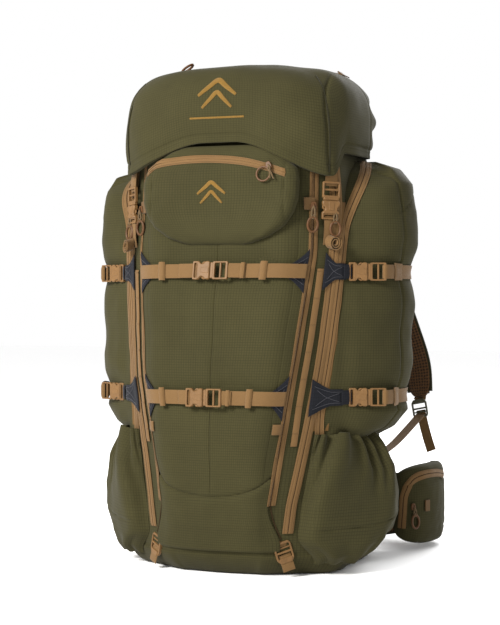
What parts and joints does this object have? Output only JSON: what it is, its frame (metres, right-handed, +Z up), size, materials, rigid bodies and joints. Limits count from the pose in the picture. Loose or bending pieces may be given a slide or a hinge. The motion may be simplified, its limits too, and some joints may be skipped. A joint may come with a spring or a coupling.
{
  "type": "hunting backpack",
  "caption": "Large internal-frame hunting backpack: hinged lid, front and side pockets, compression straps with side-release buckles, padded shoulder straps and hip belt.",
  "frame": {"origin": "centre of the bag's flat base, on the ground", "axes": "+Z up along the pack, -Y out of the front panel, +Y towards the wearer, +X to the right as the front is seen"},
  "size_m": [0.612, 0.6658, 0.92],
  "materials": {
    "pack_fabric": "olive ripstop pack cloth, matt, fine woven grain",
    "webbing": "coyote nylon webbing and zipper tape, matt with a slight sheen",
    "buckle_plastic": "coyote moulded acetal, satin",
    "mesh_padding": "dark brown spacer mesh over foam",
    "patch_fabric": "near-black coated reinforcement cloth",
    "frame_sheet": "black polyethylene sheet",
    "frame_stay": "flat bar, satin"
  },
  "bodies": {
    "pack": {"back_pad": "mesh_padding", "base_lock_left": "buckle_plastic", "base_lock_right": "buckle_plastic", "frame_sheet": "frame_sheet", "frame_stay_left": "frame_stay", "frame_stay_right": "frame_stay", "front_buckle_lower_female": "buckle_plastic", "front_buckle_upper_female": "buckle_plastic", "front_panel": "pack_fabric", "front_pocket": "pack_fabric", "front_strap_lower_left": "webbing", "front_strap_lower_right": "webbing", "front_strap_upper_left": "webbing", "front_strap_upper_right": "webbing", "haul_loop": "webbing", "lid_buckle_left_female": "buckle_plastic", "lid_buckle_right_female": "buckle_plastic", "lumbar_pad": "mesh_padding", "main_bag": "pack_fabric", "shoulder_webbing_left": "webbing", "shoulder_webbing_right": "webbing", "side_buckle_lower_left_female": "buckle_plastic", "side_buckle_lower_right_female": "buckle_plastic", "side_buckle_upper_left_female": "buckle_plastic", "side_buckle_upper_right_female": "buckle_plastic", "side_pocket_left": "pack_fabric", "side_pocket_right": "pack_fabric", "side_strap_lower_left": "webbing", "side_strap_lower_right": "webbing", "side_strap_upper_left": "webbing", "side_strap_upper_right": "webbing", "wing_pocket_left": "pack_fabric", "wing_pocket_right": "pack_fabric"},
    "lid": {"lid": "pack_fabric", "lid_buckle_left_male": "buckle_plastic", "lid_buckle_right_male": "buckle_plastic"},
    "lid_zip_slider": {"lid_zip_slider": "buckle_plastic"},
    "front_pocket_slider": {"front_pocket_slider": "buckle_plastic"},
    "main_zip_slider_left": {"main_zip_slider_left": "buckle_plastic"},
    "main_zip_slider_right": {"main_zip_slider_right": "buckle_plastic"},
    "harness": {"shoulder_strap_left": "mesh_padding", "shoulder_strap_right": "mesh_padding", "ladder_lock_left": "buckle_plastic", "ladder_lock_right": "buckle_plastic"},
    "sternum_strap": {"sternum_webbing": "webbing", "sternum_buckle": "buckle_plastic"},
    "hip_left": {"hip_wing_left": "mesh_padding", "belt_pouch_left": "pack_fabric", "belt_webbing_left": "webbing", "belt_buckle_female": "buckle_plastic"},
    "hip_right": {"hip_wing_right": "mesh_padding", "belt_pouch_right": "pack_fabric", "belt_webbing_right": "webbing", "belt_buckle_male": "buckle_plastic"},
    "front_buckle_upper_male": {"front_buckle_upper_male": "buckle_plastic"},
    "side_buckle_upper_left_male": {"side_buckle_upper_left_male": "buckle_plastic"},
    "side_buckle_upper_right_male": {"side_buckle_upper_right_male": "buckle_plastic"},
    "front_buckle_lower_male": {"front_buckle_lower_male": "buckle_plastic"},
    "side_buckle_lower_left_male": {"side_buckle_lower_left_male": "buckle_plastic"},
    "side_buckle_lower_right_male": {"side_buckle_lower_right_male": "buckle_plastic"}
  },
  "joints": [
    {"name": "lid_hinge", "type": "hinge", "parent": "pack", "child": "lid", "pos_m": [0, 0.152, 0.748], "axis": [-1, 0, 0], "range_deg": [0, 100]},
    {"name": "lid_zip", "type": "slide", "parent": "lid", "child": "lid_zip_slider", "axis": [0.9929, 0, 0.1191], "range_m": [0, 0.09]},
    {"name": "front_pocket_zip", "type": "slide", "parent": "pack", "child": "front_pocket_slider", "axis": [-1, 0, 0], "range_m": [0, 0.21]},
    {"name": "main_zip_left", "type": "slide", "parent": "pack", "child": "main_zip_slider_left", "axis": [-0.0114, -0.091, -0.9958], "range_m": [-0.03, 0.05]},
    {"name": "main_zip_right", "type": "slide", "parent": "pack", "child": "main_zip_slider_right", "axis": [0.0114, -0.091, -0.9958], "range_m": [-0.03, 0.05]},
    {"name": "front_buckle_upper", "type": "slide", "parent": "pack", "child": "front_buckle_upper_male", "axis": [1, 0, 0], "range_m": [0, 0.025]},
    {"name": "front_buckle_lower", "type": "slide", "parent": "pack", "child": "front_buckle_lower_male", "axis": [1, 0, 0], "range_m": [0, 0.025]},
    {"name": "side_buckle_upper_left", "type": "slide", "parent": "pack", "child": "side_buckle_upper_left_male", "axis": [-0.8993, 0.4373, 0], "range_m": [0, 0.02]},
    {"name": "side_buckle_upper_right", "type": "slide", "parent": "pack", "child": "side_buckle_upper_right_male", "axis": [0.8993, 0.4373, 0], "range_m": [0, 0.02]},
    {"name": "side_buckle_lower_left", "type": "slide", "parent": "pack", "child": "side_buckle_lower_left_male", "axis": [-0.884, 0.4675, 0], "range_m": [0, 0.02]},
    {"name": "side_buckle_lower_right", "type": "slide", "parent": "pack", "child": "side_buckle_lower_right_male", "axis": [0.884, 0.4675, 0], "range_m": [0, 0.02]},
    {"name": "harness_swing", "type": "hinge", "parent": "pack", "child": "harness", "pos_m": [0, 0.17, 0.6], "axis": [1, 0, 0], "range_deg": [-8, 20], "deforming": ["shoulder_webbing_left", "shoulder_webbing_right"]},
    {"name": "sternum_slide", "type": "slide", "parent": "harness", "child": "sternum_strap", "axis": [0, -0.1322, 0.9912], "range_m": [-0.02, 0.03]},
    {"name": "hip_swing_left", "type": "hinge", "parent": "pack", "child": "hip_left", "pos_m": [-0.122, 0.187, 0.09], "axis": [0, 0, 1], "range_deg": [0, 30]},
    {"name": "hip_swing_right", "type": "hinge", "parent": "pack", "child": "hip_right", "pos_m": [0.122, 0.187, 0.09], "axis": [0, 0, -1], "range_deg": [0, 30]}
  ]
}
